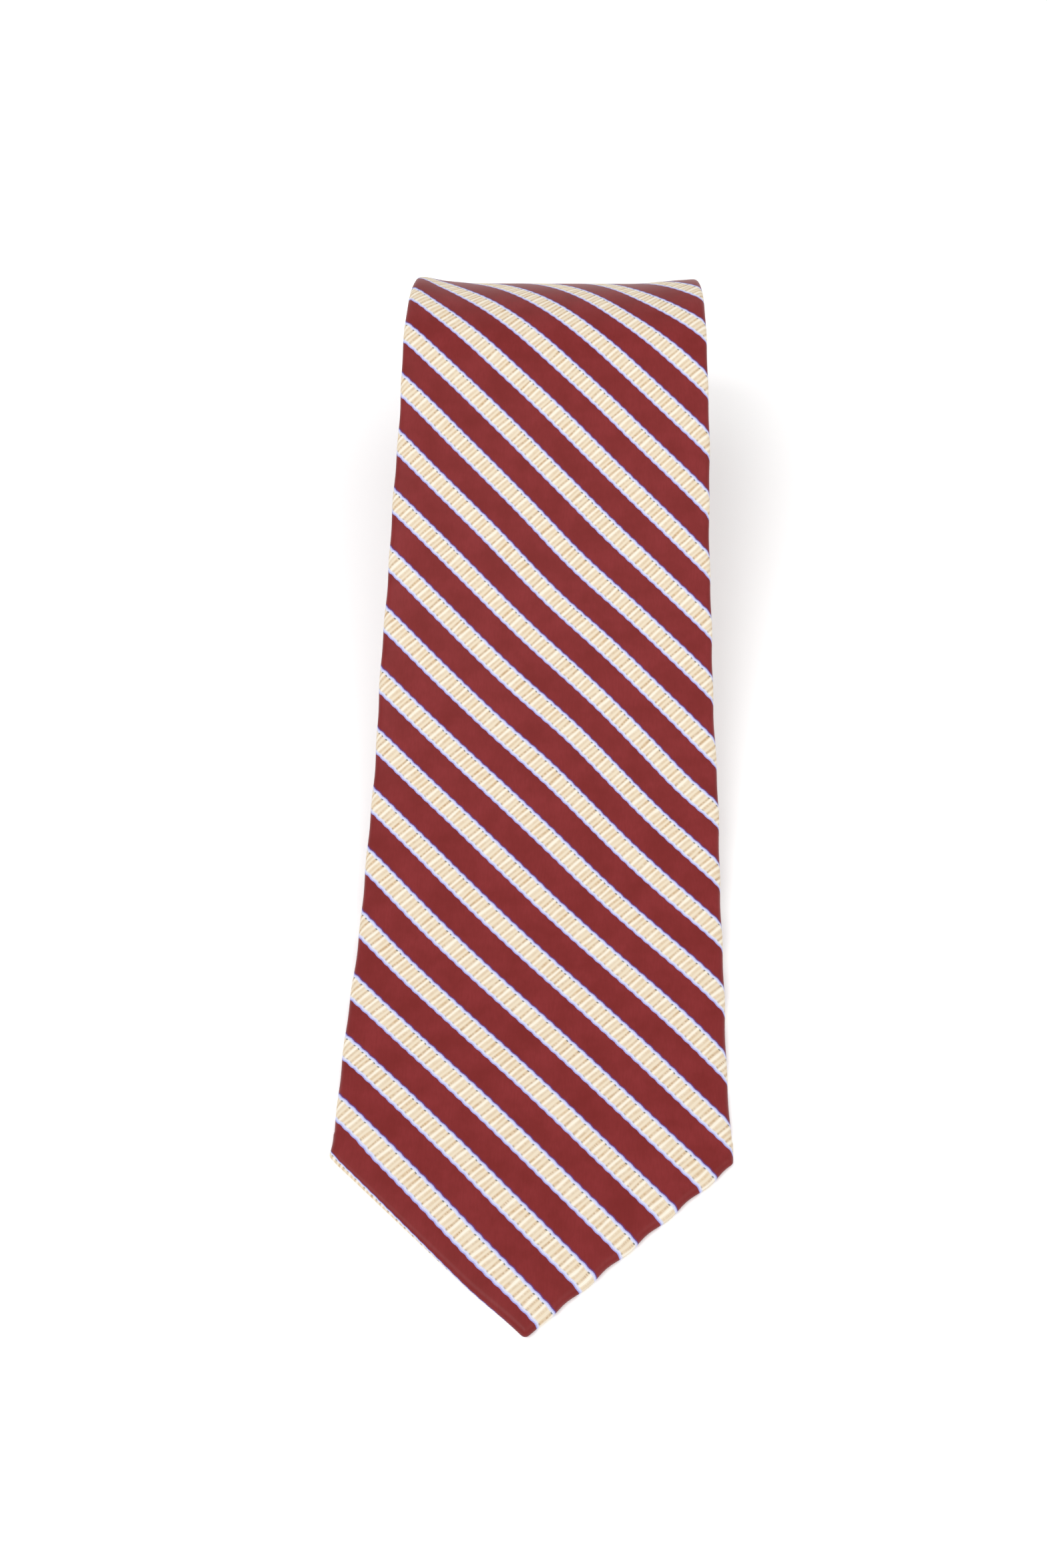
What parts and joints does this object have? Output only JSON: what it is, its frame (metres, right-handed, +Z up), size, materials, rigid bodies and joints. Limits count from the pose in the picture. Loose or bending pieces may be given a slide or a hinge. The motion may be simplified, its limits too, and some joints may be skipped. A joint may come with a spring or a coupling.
{
  "type": "necktie",
  "caption": "Striped silk necktie rolled up from its tail, with the wide pointed blade running off the top of the roll and lying flat in front.",
  "frame": {"origin": "on the table, under the middle of the rolled tie's bounding box", "axes": "+X across the tie, +Y along the blade from its point towards the roll, +Z up"},
  "size_m": [0.095, 0.3218, 0.0657],
  "materials": {
    "striped_silk": "woven satin, burgundy ground with ribbed cream stripes edged in lavender",
    "wool_interlining": "brushed wool canvas",
    "tipping_satin": "plain satin lining",
    "sewing_thread": "twisted silk thread",
    "woven_label": "close woven ribbon, blank"
  },
  "bodies": {
    "roll": {"blade_silk_rolled": "striped_silk", "neck_silk": "striped_silk", "tail_silk": "striped_silk", "wide_interlining_rolled": "wool_interlining", "narrow_interlining": "wool_interlining", "tail_tipping": "tipping_satin", "tail_tipping_stitches": "sewing_thread", "blade_seam_stitches": "sewing_thread", "tail_seam_stitches": "sewing_thread", "interlining_seam_stitches": "sewing_thread", "slip_stitch_rolled": "sewing_thread", "tail_bar_tack": "sewing_thread"},
    "blade": {"blade_silk_slope": "striped_silk", "wide_interlining_slope": "wool_interlining", "slip_stitch_slope": "sewing_thread", "blade_bar_tack": "sewing_thread", "keeper_loop": "striped_silk", "keeper_tacks": "sewing_thread", "blank_label": "woven_label", "label_stitches": "sewing_thread", "care_tag_stitches": "sewing_thread"},
    "point": {"blade_silk_tip": "striped_silk", "wide_interlining_tip": "wool_interlining", "blade_tipping": "tipping_satin", "blade_tipping_stitches": "sewing_thread"},
    "care_tag": {"care_tag": "woven_label"}
  },
  "joints": [
    {"name": "blade_lift", "type": "hinge", "parent": "roll", "child": "blade", "pos_m": [0, 0.10414, 0.06201], "axis": [-1, 0, 0], "range_deg": [0, 60]},
    {"name": "point_fold", "type": "hinge", "parent": "blade", "child": "point", "pos_m": [0, -0.01229, 0.0146], "axis": [-1, 0, 0], "range_deg": [0, 70]},
    {"name": "care_tag_swing", "type": "hinge", "parent": "blade", "child": "care_tag", "pos_m": [0, 0.06526, 0.041], "axis": [1, 0, 0], "range_deg": [-55, 35]}
  ]
}
